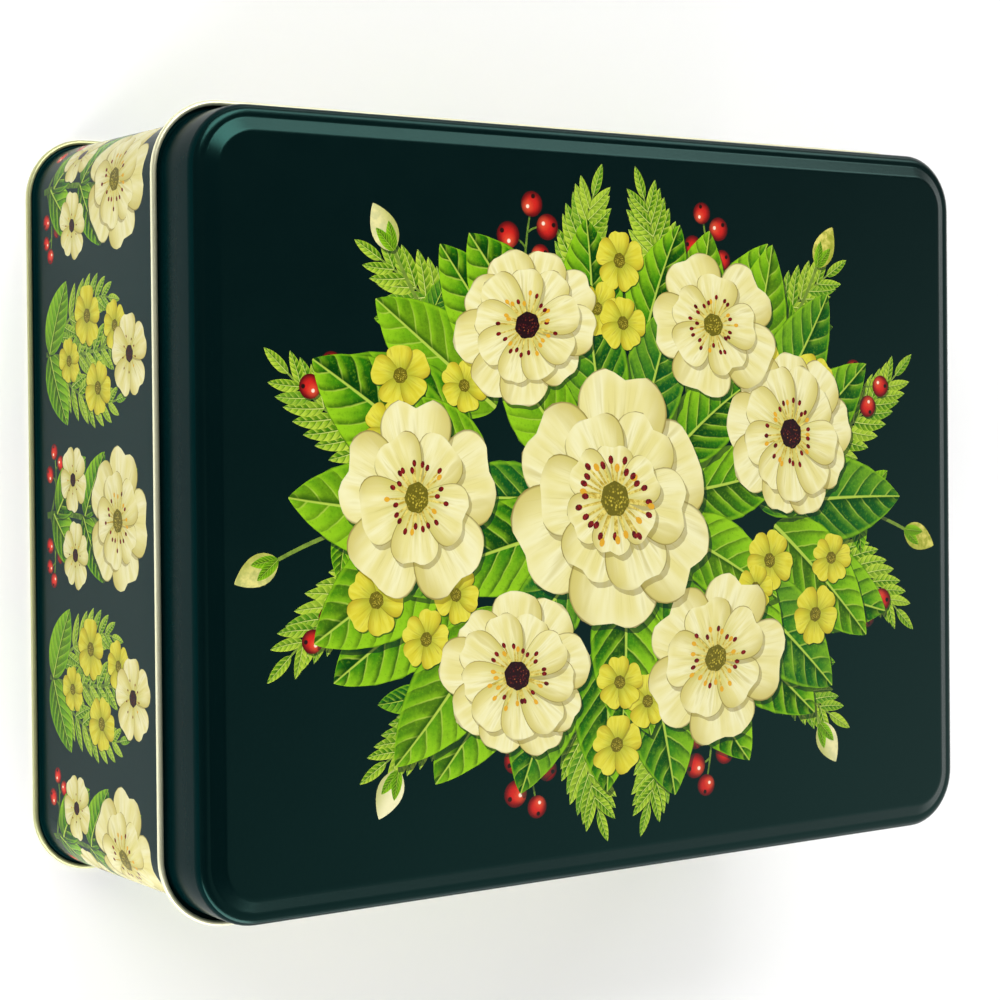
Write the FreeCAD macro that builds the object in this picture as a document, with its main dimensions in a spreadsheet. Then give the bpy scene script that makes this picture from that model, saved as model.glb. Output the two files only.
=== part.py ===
# Deep rectangular storage tin: a lift-off lid with a rolled outward edge, a
# wrapped body wall with a folded side seam and an inward-rolled mouth, and a
# pressed base whose rim is rolled round the flange of the wall.
# Millimetres, +Z up, origin under the centre of the base, +X along the length.
import FreeCAD, Part
import math
import os
import Sketcher

doc = FreeCAD.newDocument("StorageTin")

# ---------------------------------------------------------------- dimensions
DIMENSIONS = [
    ("lid_length", 241.2, "lid skirt outside, along X"),
    ("lid_width", 190.1, "lid skirt outside, along Y"),
    ("lid_corner", 15.4, "corner radius of the skirt outside"),
    ("gauge", 0.28, "tinplate thickness"),
    ("lid_top", 94.35, "top of the raised lid panel"),
    ("panel_inset", 6.2, "edge of the raised panel, in from the skirt"),
    ("shoulder_top", 92.9, "top of the rounded shoulder"),
    ("shoulder_rad", 2.5, "shoulder radius outside"),
    ("shoulder_flat", 0.7, "flat between the sloping band and the shoulder"),
    ("curl_level", 77.0, "centre height of the lid's rolled edge"),
    ("curl_rad", 0.76, "outer radius of the lid's rolled edge"),
    ("curl_reach", 1.71, "centre of the lid's rolled edge, out from the skirt"),
    ("curl_bend", 0.35, "bend radius at the foot of the skirt, outside face"),
    ("panel_join", 9.0, "where the flat panel takes over from the swept rim"),
    ("wall_gap", 1.2, "body wall outside, in from the skirt outside"),
    ("mouth_top", 92.45, "top of the rolled mouth"),
    ("mouth_curl", 1.1, "outer radius of the rolled mouth"),
    ("flange_level", 1.4, "where the wall starts to bend into its flange"),
    ("flange_bend", 0.45, "bend radius of the flange, outside face"),
    ("flange_reach", 1.5, "reach of the flange beyond the wall"),
    ("rim_rad", 0.72, "outer radius of the base rim"),
    ("rim_proud", 2.03, "base rim beyond the wall"),
    ("pit_gap", 0.06, "clearance of the base step inside the wall"),
    ("pit_foot", 0.4, "outer bend radius at the foot of the base step"),
    ("pit_bend", 0.3, "inner bend radius at the top of the base step"),
    ("floor_level", 3.0, "underside of the base panel"),
    ("floor_join", 8.0, "where the flat base panel takes over from the rim"),
    ("seam_place", 60.0, "side seam, along X from the centre"),
    ("seam_width", 5.0, "width of the folded side seam"),
    ("seam_fold", 0.56, "two folded layers inside the wall"),
    ("seam_low", 3.8, "lower end of the folded seam"),
    ("seam_tall", 85.9, "height of the folded seam"),
]
sheet = doc.addObject("Spreadsheet::Sheet", "Sheet")
SIZE = {}
for row, (alias, value, note) in enumerate(DIMENSIONS, 1):
    sheet.set("A%d" % row, note)
    sheet.set("B%d" % row, "%g" % value)
    sheet.setAlias("B%d" % row, alias)
    SIZE[alias] = value
doc.recompute()


# ------------------------------------------------------------------- helpers
# A measure is a list of (factor, alias) terms, so that the same list gives the
# starting value of a dimension and the expression that drives it.
def number(terms):
    return sum(f * SIZE[a] for f, a in terms)


def formula(terms):
    return " + ".join("(%.9g) * Sheet.%s" % (f, a) for f, a in terms)


def less(terms, other):
    return terms + [(-f, a) for f, a in other]


def times(factor, terms):
    return [(factor * f, a) for f, a in terms]


def plane_of(body, role):
    return [o for o in body.Origin.OriginFeatures if o.Role == role][0]


def sketch_on(body, name, role):
    sk = body.newObject("Sketcher::SketchObject", name)
    sk.AttachmentSupport = [(plane_of(body, role), "")]
    sk.MapMode = "FlatFace"
    return sk


def drive(sk, constraint, name, terms):
    i = sk.addConstraint(constraint)
    sk.renameConstraint(i, name)
    sk.setExpression("Constraints." + name, formula(terms))


def outline(body, name, steps):
    """Closed section in the XZ plane.

    steps: (x, z, None) starts a straight edge at that point; (x, z, (cx, cz,
    radius, turn)) starts an arc round (cx, cz), turn +1 anticlockwise.
    """
    sk = sketch_on(body, name, "XZ_Plane")
    n = len(steps)
    ends = []
    for i, (x, z, arc) in enumerate(steps):
        x2, z2 = steps[(i + 1) % n][0], steps[(i + 1) % n][1]
        p = FreeCAD.Vector(number(x), number(z), 0)
        q = FreeCAD.Vector(number(x2), number(z2), 0)
        if arc is None:
            sk.addGeometry(Part.LineSegment(p, q), False)
            ends.append((1, 2))
        else:
            cx, cz, radius, turn = arc
            c = FreeCAD.Vector(number(cx), number(cz), 0)
            a = math.atan2(p.y - c.y, p.x - c.x)
            b = math.atan2(q.y - c.y, q.x - c.x)
            if turn < 0:
                a, b = b, a
            while b <= a:
                b += 2 * math.pi
            circle = Part.Circle(c, FreeCAD.Vector(0, 0, 1), number(radius))
            sk.addGeometry(Part.ArcOfCircle(circle, a, b), False)
            ends.append((1, 2) if turn > 0 else (2, 1))
    for i in range(n):
        j = (i + 1) % n
        sk.addConstraint(Sketcher.Constraint("Coincident", i, ends[i][1], j, ends[j][0]))
    for i, (x, z, arc) in enumerate(steps):
        drive(sk, Sketcher.Constraint("DistanceX", -1, 1, i, ends[i][0], number(x)), "x%d" % i, x)
        drive(sk, Sketcher.Constraint("DistanceY", -1, 1, i, ends[i][0], number(z)), "z%d" % i, z)
        if arc is not None:
            drive(sk, Sketcher.Constraint("Radius", i, number(arc[2])), "r%d" % i, arc[2])
    return sk


def round_rectangle(body, name, length, width, corner, level=None, split=False):
    """Rounded rectangle centred on the axis; split starts it in mid-side at +X."""
    sk = sketch_on(body, name, "XY_Plane")
    hx, hy, r = number(length) / 2, number(width) / 2, number(corner)
    V = lambda x, y: FreeCAD.Vector(x, y, 0)
    arc = lambda x, y, a: Part.ArcOfCircle(Part.Circle(V(x, y), V(0, 0) + FreeCAD.Vector(0, 0, 1), r), math.radians(a), math.radians(a + 90))
    edges = [
        Part.LineSegment(V(hx, 0 if split else r - hy), V(hx, hy - r)),
        arc(hx - r, hy - r, 0),
        Part.LineSegment(V(hx - r, hy), V(r - hx, hy)),
        arc(r - hx, hy - r, 90),
        Part.LineSegment(V(-hx, hy - r), V(-hx, r - hy)),
        arc(r - hx, r - hy, 180),
        Part.LineSegment(V(r - hx, -hy), V(hx - r, -hy)),
        arc(hx - r, r - hy, 270),
    ]
    if split:
        edges.append(Part.LineSegment(V(hx, r - hy), V(hx, 0)))
    for e in edges:
        sk.addGeometry(e, False)
    n = len(edges)
    for i in range(n - 1 if split else n):
        sk.addConstraint(Sketcher.Constraint("Tangent", i, 2, (i + 1) % n, 1))
    if split:
        sk.addConstraint(Sketcher.Constraint("Coincident", n - 1, 2, 0, 1))
        sk.addConstraint(Sketcher.Constraint("PointOnObject", 0, 1, -1))
    sk.addConstraint(Sketcher.Constraint("Vertical", 0))
    sk.addConstraint(Sketcher.Constraint("Horizontal", 2))
    sk.addConstraint(Sketcher.Constraint("Vertical", 4))
    sk.addConstraint(Sketcher.Constraint("Horizontal", 6))
    if split:
        sk.addConstraint(Sketcher.Constraint("Vertical", 8))
    for i in (3, 5, 7):
        sk.addConstraint(Sketcher.Constraint("Equal", 1, i))
    drive(sk, Sketcher.Constraint("Radius", 1, r), "corner", corner)
    drive(sk, Sketcher.Constraint("DistanceX", -1, 1, 0, 2, hx), "half_length", times(0.5, length))
    drive(sk, Sketcher.Constraint("DistanceX", 4, 1, 0, 2, 2 * hx), "full_length", length)
    drive(sk, Sketcher.Constraint("DistanceY", -1, 1, 2, 1, hy), "half_width", times(0.5, width))
    drive(sk, Sketcher.Constraint("DistanceY", 6, 1, 2, 1, 2 * hy), "full_width", width)
    if level is not None:
        sk.AttachmentOffset = FreeCAD.Placement(FreeCAD.Vector(0, 0, number(level)), FreeCAD.Rotation())
        sk.setExpression("AttachmentOffset.Base.z", formula(level))
    return sk


def sweep_round(body, name, section, path):
    pipe = body.newObject("PartDesign::AdditivePipe", name)
    pipe.Profile = section
    pipe.Spine = (path, [])
    pipe.Mode = "Standard"
    pipe.Refine = True
    body.Tip = pipe
    doc.recompute()
    return pipe


def pad_of(body, name, sk, length):
    pad = body.newObject("PartDesign::Pad", name)
    pad.Profile = sk
    pad.Length = number(length)
    pad.setExpression("Length", formula(length))
    pad.Refine = True
    body.Tip = pad
    doc.recompute()
    return pad


def new_body(label):
    body = doc.addObject("PartDesign::Body", label)
    body.Label = label
    return body


# measures used in more than one section
SHEET = [(1, "gauge")]
SKIRT_X = [(0.5, "lid_length")]
WALL_X = [(0.5, "lid_length"), (-1, "wall_gap")]
WALL_Y = [(0.5, "lid_width"), (-1, "wall_gap")]
WALL_L = [(1, "lid_length"), (-2, "wall_gap")]
WALL_W = [(1, "lid_width"), (-2, "wall_gap")]
WALL_R = [(1, "lid_corner"), (-1, "wall_gap")]

# ----------------------------------------------------------------------- lid
# One drawn sheet: raised panel, sloping band, rounded shoulder, straight skirt
# and a narrow flange at its foot that ends in an edge rolled outwards and up.
lid = new_body("lid")
top = [(1, "lid_top")]
sh_top = [(1, "shoulder_top")]
sh_low = [(1, "shoulder_top"), (-1, "shoulder_rad")]
sh_rad = [(1, "shoulder_rad")]
curl_z = [(1, "curl_level")]
curl_x = SKIRT_X + [(1, "curl_reach")]
curl_out = [(1, "curl_rad")]
curl_in = [(1, "curl_rad"), (-1, "gauge")]
ledge_up = less(curl_z, curl_in)
ledge_lo = less(curl_z, curl_out)
heel_x = SKIRT_X + [(1, "curl_bend")]
heel_z = ledge_up + [(1, "curl_bend")]
heel_rad = [(1, "curl_bend")]
slope_x = less(SKIRT_X, sh_rad + [(1, "shoulder_flat")])
ca, sa = math.cos(math.radians(140)), math.sin(math.radians(140))
lid_section = outline(lid, "LidSection", [
    (less(SKIRT_X, [(1, "panel_join")]), top, None),
    (less(SKIRT_X, [(1, "panel_inset")]), top, None),
    (slope_x, sh_top, None),
    (less(SKIRT_X, sh_rad), sh_top, (less(SKIRT_X, sh_rad), sh_low, sh_rad, -1)),
    (SKIRT_X, sh_low, None),
    (SKIRT_X, heel_z, (heel_x, heel_z, heel_rad, 1)),
    (heel_x, ledge_up, None),
    (curl_x, ledge_up, (curl_x, curl_z, curl_in, 1)),
    (curl_x + times(ca, curl_in), curl_z + times(sa, curl_in), None),
    (curl_x + times(ca, curl_out), curl_z + times(sa, curl_out), (curl_x, curl_z, curl_out, -1)),
    (curl_x, ledge_lo, None),
    (heel_x, ledge_lo, (heel_x, heel_z, heel_rad + SHEET, -1)),
    (less(SKIRT_X, SHEET), heel_z, None),
    (less(SKIRT_X, SHEET), sh_low, (less(SKIRT_X, sh_rad), sh_low, less(sh_rad, SHEET), 1)),
    (less(SKIRT_X, sh_rad), less(sh_top, SHEET), None),
    (slope_x, less(sh_top, SHEET), None),
    (less(SKIRT_X, [(1, "panel_inset")]), less(top, SHEET), None),
    (less(SKIRT_X, [(1, "panel_join")]), less(top, SHEET), None),
])
lid_path = round_rectangle(lid, "LidPath", [(1, "lid_length")], [(1, "lid_width")], [(1, "lid_corner")], split=True)
doc.recompute()
sweep_round(lid, "LidRim", lid_section, lid_path)
lid_panel = round_rectangle(
    lid, "LidPanelOutline",
    [(1, "lid_length"), (-2, "panel_join")], [(1, "lid_width"), (-2, "panel_join")],
    [(1, "lid_corner"), (-1, "panel_join")], less(top, SHEET))
pad_of(lid, "LidPanel", lid_panel, SHEET)

# ----------------------------------------------------------------- body wall
# A printed strip wrapped into a rounded rectangle: flanged outwards at the
# foot for the base rim, rolled inwards at the mouth, closed by a folded seam.
wall = new_body("body_wall")
mouth_z = [(1, "mouth_top"), (-1, "mouth_curl")]
mouth_x = less(WALL_X, [(1, "mouth_curl")])
mouth_out = [(1, "mouth_curl")]
mouth_in = [(1, "mouth_curl"), (-1, "gauge")]
bend_z = [(1, "flange_level")]
bend_x = WALL_X + [(1, "flange_bend")]
flange_up = [(1, "flange_level"), (-1, "flange_bend")]
flange_lo = less(flange_up, SHEET)
flange_end = WALL_X + [(1, "flange_reach")]
cm, sm = math.cos(math.radians(300)), math.sin(math.radians(300))
wall_section = outline(wall, "WallSection", [
    (WALL_X, bend_z, None),
    (WALL_X, mouth_z, (mouth_x, mouth_z, mouth_out, 1)),
    (mouth_x + times(cm, mouth_out), mouth_z + times(sm, mouth_out), None),
    (mouth_x + times(cm, mouth_in), mouth_z + times(sm, mouth_in), (mouth_x, mouth_z, mouth_in, -1)),
    (less(WALL_X, SHEET), mouth_z, None),
    (less(WALL_X, SHEET), bend_z, (bend_x, bend_z, [(1, "flange_bend"), (1, "gauge")], 1)),
    (bend_x, flange_lo, None),
    (flange_end, flange_lo, None),
    (flange_end, flange_up, None),
    (bend_x, flange_up, (bend_x, bend_z, [(1, "flange_bend")], -1)),
])
wall_path = round_rectangle(wall, "WallPath", WALL_L, WALL_W, WALL_R, split=True)
doc.recompute()
sweep_round(wall, "WallStrip", wall_section, wall_path)

seam = sketch_on(wall, "SeamOutline", "XY_Plane")
x0 = [(1, "seam_place"), (-0.5, "seam_width")]
x1 = [(1, "seam_place"), (0.5, "seam_width")]
y0 = WALL_Y + [(-1, "gauge"), (-1, "seam_fold")]
y1 = WALL_Y + [(-0.5, "gauge")]
corners = [(x0, y0), (x1, y0), (x1, y1), (x0, y1)]
for i in range(4):
    a, b = corners[i], corners[(i + 1) % 4]
    seam.addGeometry(Part.LineSegment(FreeCAD.Vector(number(a[0]), number(a[1]), 0), FreeCAD.Vector(number(b[0]), number(b[1]), 0)), False)
for i in range(4):
    seam.addConstraint(Sketcher.Constraint("Coincident", i, 2, (i + 1) % 4, 1))
for i, (x, y) in enumerate(corners):
    drive(seam, Sketcher.Constraint("DistanceX", -1, 1, i, 1, number(x)), "x%d" % i, x)
    drive(seam, Sketcher.Constraint("DistanceY", -1, 1, i, 1, number(y)), "y%d" % i, y)
seam.AttachmentOffset = FreeCAD.Placement(FreeCAD.Vector(0, 0, SIZE["seam_low"]), FreeCAD.Rotation())
seam.setExpression("AttachmentOffset.Base.z", "Sheet.seam_low")
doc.recompute()
pad_of(wall, "SideSeam", seam, [(1, "seam_tall")])

# ---------------------------------------------------------------- base plate
# Pressed sheet: flat panel, a step down inside the wall, a flat foot to stand
# on and a rim rolled up and over the wall's flange.
base = new_body("base_plate")
pit_out = less(WALL_X, [(1, "gauge"), (1, "pit_gap")])
pit_in = less(pit_out, SHEET)
foot_x = pit_in + [(1, "pit_foot")]
foot_z = [(1, "pit_foot")]
turn_x = less(pit_in, [(1, "pit_bend")])
turn_z = [(1, "floor_level"), (-1, "pit_bend")]
rim_x = WALL_X + [(1, "rim_proud"), (-1, "rim_rad")]
rim_z = [(1, "rim_rad")]
rim_out = [(1, "rim_rad")]
rim_in = [(1, "rim_rad"), (-1, "gauge")]
ground = [(0, "gauge")]
floor = [(1, "floor_level")]
join = less(WALL_X, [(1, "floor_join")])
cr, sr = math.cos(math.radians(130)), math.sin(math.radians(130))
base_section = outline(base, "BaseSection", [
    (join, floor, None),
    (turn_x, floor, (turn_x, turn_z, [(1, "pit_bend")], -1)),
    (pit_in, turn_z, None),
    (pit_in, foot_z, (foot_x, foot_z, [(1, "pit_foot")], 1)),
    (foot_x, ground, None),
    (rim_x, ground, (rim_x, rim_z, rim_out, 1)),
    (rim_x + times(cr, rim_out), rim_z + times(sr, rim_out), None),
    (rim_x + times(cr, rim_in), rim_z + times(sr, rim_in), (rim_x, rim_z, rim_in, -1)),
    (rim_x, SHEET, None),
    (foot_x, SHEET, (foot_x, foot_z, [(1, "pit_foot"), (-1, "gauge")], -1)),
    (pit_out, foot_z, None),
    (pit_out, turn_z, (turn_x, turn_z, [(1, "pit_bend"), (1, "gauge")], 1)),
    (turn_x, floor + SHEET, None),
    (join, floor + SHEET, None),
])
base_path = round_rectangle(base, "BasePath", WALL_L, WALL_W, WALL_R, split=True)
doc.recompute()
sweep_round(base, "BaseRim", base_section, base_path)
base_panel = round_rectangle(
    base, "BasePanelOutline",
    WALL_L + [(-2, "floor_join")], WALL_W + [(-2, "floor_join")], WALL_R + [(-1, "floor_join")], floor)
pad_of(base, "BasePanel", base_panel, SHEET)

doc.recompute()

# -------------------------------------------------------------------- export
for obj in doc.Objects:
    bad = [s for s in obj.State if s in ("Invalid", "Error")]
    if bad:
        raise RuntimeError("%s is %s" % (obj.Name, bad))
os.makedirs("parts", exist_ok=True)
for body in (lid, wall, base):
    shape = body.Shape
    if shape.isNull() or not shape.isValid() or len(shape.Solids) != 1:
        raise RuntimeError("%s: bad shape, %d solids" % (body.Label, len(shape.Solids)))
    shape.exportStep("parts/%s.step" % body.Label)
    box = shape.BoundBox
    print(body.Label, "volume mm3 %.1f" % shape.Volume, "box", [round(v, 3) for v in (box.XMin, box.YMin, box.ZMin, box.XMax, box.YMax, box.ZMax)])
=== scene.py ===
# Storage tin: dark green lithographed tinplate with pale gold rolled edges.
import math
import random

import bpy
import numpy as np
from mathutils import Matrix, Vector
from mathutils.geometry import delaunay_2d_cdt


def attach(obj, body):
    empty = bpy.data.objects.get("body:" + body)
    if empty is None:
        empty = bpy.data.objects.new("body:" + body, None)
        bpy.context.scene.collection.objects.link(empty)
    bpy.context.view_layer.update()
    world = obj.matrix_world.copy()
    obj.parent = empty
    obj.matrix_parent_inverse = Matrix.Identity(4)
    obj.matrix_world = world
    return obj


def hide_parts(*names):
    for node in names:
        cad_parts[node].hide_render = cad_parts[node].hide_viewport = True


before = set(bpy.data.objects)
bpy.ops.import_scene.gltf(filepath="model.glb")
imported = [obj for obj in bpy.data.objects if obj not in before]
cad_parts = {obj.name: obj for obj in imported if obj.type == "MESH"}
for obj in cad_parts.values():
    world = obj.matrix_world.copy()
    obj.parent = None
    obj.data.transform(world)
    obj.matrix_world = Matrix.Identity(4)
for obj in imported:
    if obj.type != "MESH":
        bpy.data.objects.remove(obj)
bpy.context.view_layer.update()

MM = 0.001
rnd = random.Random(20417)

# ------------------------------------------------------------------ tin sizes
LID_L, LID_W, LID_R = 241.2, 190.1, 15.4      # skirt outside
SHEET = 0.28
TOP = 94.35
CURL, CURL_OUT = 0.76, 1.71                    # radius and reach of the lid's rolled edge
RIM, RIM_OUT = 0.72, 2.03                      # radius and reach of the base rim
WALL_IN = 1.2                                  # wall outside, in from the skirt


# ------------------------------------------------------------------- materials
def lin(r, g, b):
    def one(c):
        c /= 255.0
        return c / 12.92 if c <= 0.04045 else ((c + 0.055) / 1.055) ** 2.4
    return (one(r), one(g), one(b), 1.0)


INK = 0.79                                     # inks are named by the colour they show under the lamps


def ink(r, g, b, k=INK):
    return tuple(k * c for c in lin(r, g, b)[:3]) + (1.0,)


class Tree:
    """Short names for building one material's nodes."""

    def __init__(self, name):
        self.mat = bpy.data.materials.new(name)
        self.mat.use_nodes = True
        self.nt = self.mat.node_tree
        self.bsdf = self.nt.nodes["Principled BSDF"]

    def put(self, socket, value):
        if isinstance(value, bpy.types.NodeSocket):
            self.nt.links.new(value, socket)
        else:
            socket.default_value = value

    def math(self, op, a, b=0.0, c=0.0):
        n = self.nt.nodes.new("ShaderNodeMath")
        n.operation = op
        for s, v in zip(n.inputs, (a, b, c)):
            self.put(s, v)
        return n.outputs[0]

    def add(self, a, b): return self.math("ADD", a, b)
    def sub(self, a, b): return self.math("SUBTRACT", a, b)
    def mul(self, a, b): return self.math("MULTIPLY", a, b)
    def div(self, a, b): return self.math("DIVIDE", a, b)
    def pow(self, a, b): return self.math("POWER", self.math("MAXIMUM", a, 0.0005), b)

    def step(self, x, lo, hi):
        """0 below lo and 1 above hi, smooth between; lo > hi turns it round."""
        n = self.nt.nodes.new("ShaderNodeMapRange")
        n.interpolation_type = "SMOOTHSTEP"
        flip = lo > hi
        self.put(n.inputs["Value"], x)
        n.inputs["From Min"].default_value = min(lo, hi)
        n.inputs["From Max"].default_value = max(lo, hi)
        n.inputs["To Min"].default_value = 1.0 if flip else 0.0
        n.inputs["To Max"].default_value = 0.0 if flip else 1.0
        return n.outputs["Result"]

    def mix(self, f, a, b):
        n = self.nt.nodes.new("ShaderNodeMix")
        n.data_type = "RGBA"
        n.clamp_factor = True
        self.put(n.inputs[0], f)
        self.put(n.inputs[6], a)
        self.put(n.inputs[7], b)
        return n.outputs[2]

    def uv(self, name):
        n = self.nt.nodes.new("ShaderNodeUVMap")
        n.uv_map = name
        s = self.nt.nodes.new("ShaderNodeSeparateXYZ")
        self.nt.links.new(n.outputs[0], s.inputs[0])
        return s.outputs[0], s.outputs[1]

    def vec(self, x, y, z=0.0):
        n = self.nt.nodes.new("ShaderNodeCombineXYZ")
        for s, v in zip(n.inputs, (x, y, z)):
            self.put(s, v)
        return n.outputs[0]

    def place(self):
        n = self.nt.nodes.new("ShaderNodeTexCoord")
        return n.outputs["Object"]

    def noise(self, vec, scale, detail=2.0, rough=0.5):
        n = self.nt.nodes.new("ShaderNodeTexNoise")
        self.put(n.inputs["Vector"], vec)
        n.inputs["Scale"].default_value = scale
        n.inputs["Detail"].default_value = detail
        n.inputs["Roughness"].default_value = rough
        return n.outputs["Fac"]

    def varnish(self, level, tint=(1.0, 1.0, 1.0, 1.0)):
        """Satin varnish: a slightly uneven gloss and a faint orange-peel surface."""
        p = self.place()
        r = self.noise(p, 90.0, 3.0, 0.6)
        self.put(self.bsdf.inputs["Roughness"], self.math("MULTIPLY_ADD", r, 0.06, 0.20))
        peel = self.noise(p, 1500.0, 1.0, 0.5)
        wave = self.noise(p, 11.0, 1.0, 0.4)
        h = self.math("MULTIPLY_ADD", wave, 6.0, peel)
        b = self.nt.nodes.new("ShaderNodeBump")
        b.inputs["Strength"].default_value = 0.08
        b.inputs["Distance"].default_value = 0.00012
        self.put(b.inputs["Height"], h)
        self.put(self.bsdf.inputs["Normal"], b.outputs[0])
        self.bsdf.inputs["IOR"].default_value = 1.42
        self.bsdf.inputs["Specular IOR Level"].default_value = level
        self.bsdf.inputs["Specular Tint"].default_value = tint

    def colour(self, c):
        self.put(self.bsdf.inputs["Base Color"], c)


DUSK = (0.0035, 0.012, 0.009, 1)


def ground_material(name, level, painted_light_lift=1.0):
    t = Tree(name)
    p = t.place()
    cloud = t.noise(p, 22.0, 3.0, 0.55)
    grain = t.noise(p, 900.0, 2.0, 0.6)
    c = t.mix(t.step(cloud, 0.2, 0.8), (0.0004, 0.0050 * painted_light_lift, 0.0054 * painted_light_lift, 1), (0.0006, 0.0060 * painted_light_lift, 0.0062 * painted_light_lift, 1))
    c = t.mix(t.mul(t.step(grain, 0.45, 0.75), 0.20), c, (0.0014, 0.0090 * painted_light_lift, 0.0086 * painted_light_lift, 1))
    t.colour(c)
    t.varnish(level, (0.30, 1.0, 0.86, 1.0))
    return t.mat


def leaf_material(name, level, deep, mid, light, vein, cool, wide, veins, slant):
    """Leaf from root (u = 0) to tip (u = 1): one blade lit, one in shade, arched side veins."""
    t = Tree(name)
    u, w = t.uv("Motif")
    bend, tone = t.uv("MotifVar")
    shade, _ = t.uv("MotifAux")
    v = t.sub(w, t.mul(bend, t.mul(u, u)))
    av = t.math("ABSOLUTE", v)
    lit = t.step(v, -0.006, 0.006)
    hw = t.mul(t.mul(t.pow(u, 0.62), t.pow(t.sub(1.0, u), 0.86)), wide * 2.736)
    m = t.div(av, t.add(hw, 0.003))
    p = t.place()
    wob = t.mul(t.sub(t.noise(p, 240.0, 2.0, 0.5), 0.5), 0.22)
    q = t.mul(t.sub(t.sub(u, t.mul(av, slant)), t.mul(t.pow(m, 3.0), 0.05)), veins)
    q = t.add(q, t.add(t.mul(lit, 0.4), wob))
    saw = t.math("FRACT", q)
    near = t.math("MINIMUM", saw, t.sub(1.0, saw))
    soft = t.noise(p, 120.0, 3.0, 0.6)
    c = t.mix(lit, t.mix(t.step(m, 0.1, 1.05), deep, mid), t.mix(t.step(m, 0.0, 1.0), mid, light))
    c = t.mix(t.mul(t.step(saw, 0.48, 0.02), 0.78), c, deep)
    c = t.mix(t.mul(t.step(saw, 0.50, 0.95), t.mul(t.step(m, 0.0, 0.3), 0.62)), c, light)
    c = t.mix(t.mul(t.step(u, 0.34, 0.0), 0.55), c, deep)
    c = t.mix(t.mul(t.step(tone, 0.55, 1.0), 0.40), c, light)
    c = t.mix(t.mul(t.step(tone, 0.40, 0.0), 0.55), c, cool)
    c = t.mix(t.mul(t.step(soft, 0.55, 0.80), 0.35), c, light)
    c = t.mix(t.mul(t.step(soft, 0.45, 0.22), 0.35), c, deep)
    fine = t.noise(p, 1300.0, 2.0, 0.7)
    c = t.mix(t.mul(t.step(fine, 0.50, 0.75), 0.22), c, light)
    c = t.mix(t.mul(t.step(fine, 0.48, 0.28), 0.22), c, deep)
    c = t.mix(t.mul(t.step(near, 0.070, 0.020), t.mul(t.step(m, 1.0, 0.2), 0.55)), c, vein)
    c = t.mix(t.mul(t.step(av, 0.040, 0.010), t.mul(t.sub(1.0, lit), 0.65)), c, deep)
    rib = t.math("MULTIPLY_ADD", u, -0.008, 0.0115)
    c = t.mix(t.mul(t.step(t.sub(av, rib), 0.003, -0.003), 0.85), c, vein)
    c = t.mix(t.mul(t.step(m, 0.84, 0.93), 0.45), c, light)
    c = t.mix(t.mul(t.step(m, 0.94, 0.99), 0.60), c, deep)
    c = t.mix(t.mul(shade, 0.74), c, DUSK)
    t.colour(c)
    t.varnish(level, (0.45, 1.0, 0.45, 1.0))
    return t.mat


def petal_material(name, level, pale, warm, line, root, eye, eye_reach, rim, wide=0.56, lines=1.0):
    """Petal from root to rim, with fine engraved lines that fan out and one side tucked under."""
    t = Tree(name)
    u, w = t.uv("Motif")
    bend, tone = t.uv("MotifVar")
    shade, _ = t.uv("MotifAux")
    hw = t.mul(t.mul(t.pow(t.mul(u, t.sub(1.0, u)), 0.5), t.pow(t.math("MULTIPLY_ADD", u, 0.7, 0.3), 1.1)), wide * 2.36)
    mt = t.div(w, t.add(hw, 0.004))
    am = t.math("ABSOLUTE", mt)
    spread = t.div(w, t.math("MULTIPLY_ADD", u, 0.8, 0.25))
    fan = t.noise(t.vec(t.mul(spread, 34.0), t.mul(u, 1.6), t.mul(tone, 9.0)), 1.0, 3.0, 0.7)
    fold = t.noise(t.vec(t.mul(spread, 5.0), t.mul(u, 1.1), t.mul(tone, 7.0)), 1.0, 2.0, 0.5)
    c = t.mix(t.step(fold, 0.34, 0.66), pale, warm)
    c = t.mix(t.mul(t.step(fold, 0.40, 0.26), 0.5), c, line)
    c = t.mix(t.mul(t.step(fan, 0.52, 0.70), t.mul(t.step(u, 1.05, 0.35), 0.62 * lines)), c, line)
    c = t.mix(t.mul(t.step(mt, 0.05, -0.95), 0.65), c, warm)
    c = t.mix(t.mul(t.step(am, 0.60, 0.98), 0.55), c, warm)
    c = t.mix(t.mul(t.step(mt, -0.40, -1.0), 0.62), c, line)
    c = t.mix(t.mul(t.step(am, 0.10, 0.0), t.mul(t.step(u, 0.9, 0.4), 0.35)), c, line)
    c = t.mix(t.mul(t.step(u, 0.70, 0.10), 0.75), c, root)
    c = t.mix(t.mul(t.step(u, 0.84, 0.97), 0.40), c, pale)
    c = t.mix(t.mul(t.step(am, 0.93, 0.98), 0.75), c, rim)
    c = t.mix(t.mul(t.step(u, 0.965, 0.99), 0.45), c, rim)
    rag = t.noise(t.vec(t.mul(spread, 19.0), t.mul(tone, 5.0)), 1.0, 2.0, 0.6)
    reach = t.math("MULTIPLY_ADD", rag, eye_reach * 1.7, eye_reach * 0.15)
    c = t.mix(t.step(t.sub(u, reach), 0.03, -0.04), c, eye)
    c = t.mix(t.mul(shade, 0.50), c, rim)
    t.colour(c)
    t.varnish(level)
    return t.mat


def plain_print(name, level, dark, light, scale, tone_light=None, across=False):
    """A small printed shape: two inks, modelled from one side to the other."""
    t = Tree(name)
    u, w = t.uv("Motif")
    bend, tone = t.uv("MotifVar")
    shade, _ = t.uv("MotifAux")
    n = t.noise(t.place(), scale, 3.0, 0.65)
    c = t.mix(t.step(n, 0.35, 0.66), dark, light)
    if tone_light is not None:
        c = t.mix(t.step(tone, 0.3, 0.9), c, tone_light)
    if across:
        c = t.mix(t.mul(t.step(w, 0.10, -0.30), 0.65), c, dark)
        c = t.mix(t.mul(t.step(u, 0.35, 0.0), 0.5), c, dark)
    c = t.mix(t.mul(shade, 0.66), c, DUSK)
    t.colour(c)
    t.varnish(level)
    return t.mat


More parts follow.
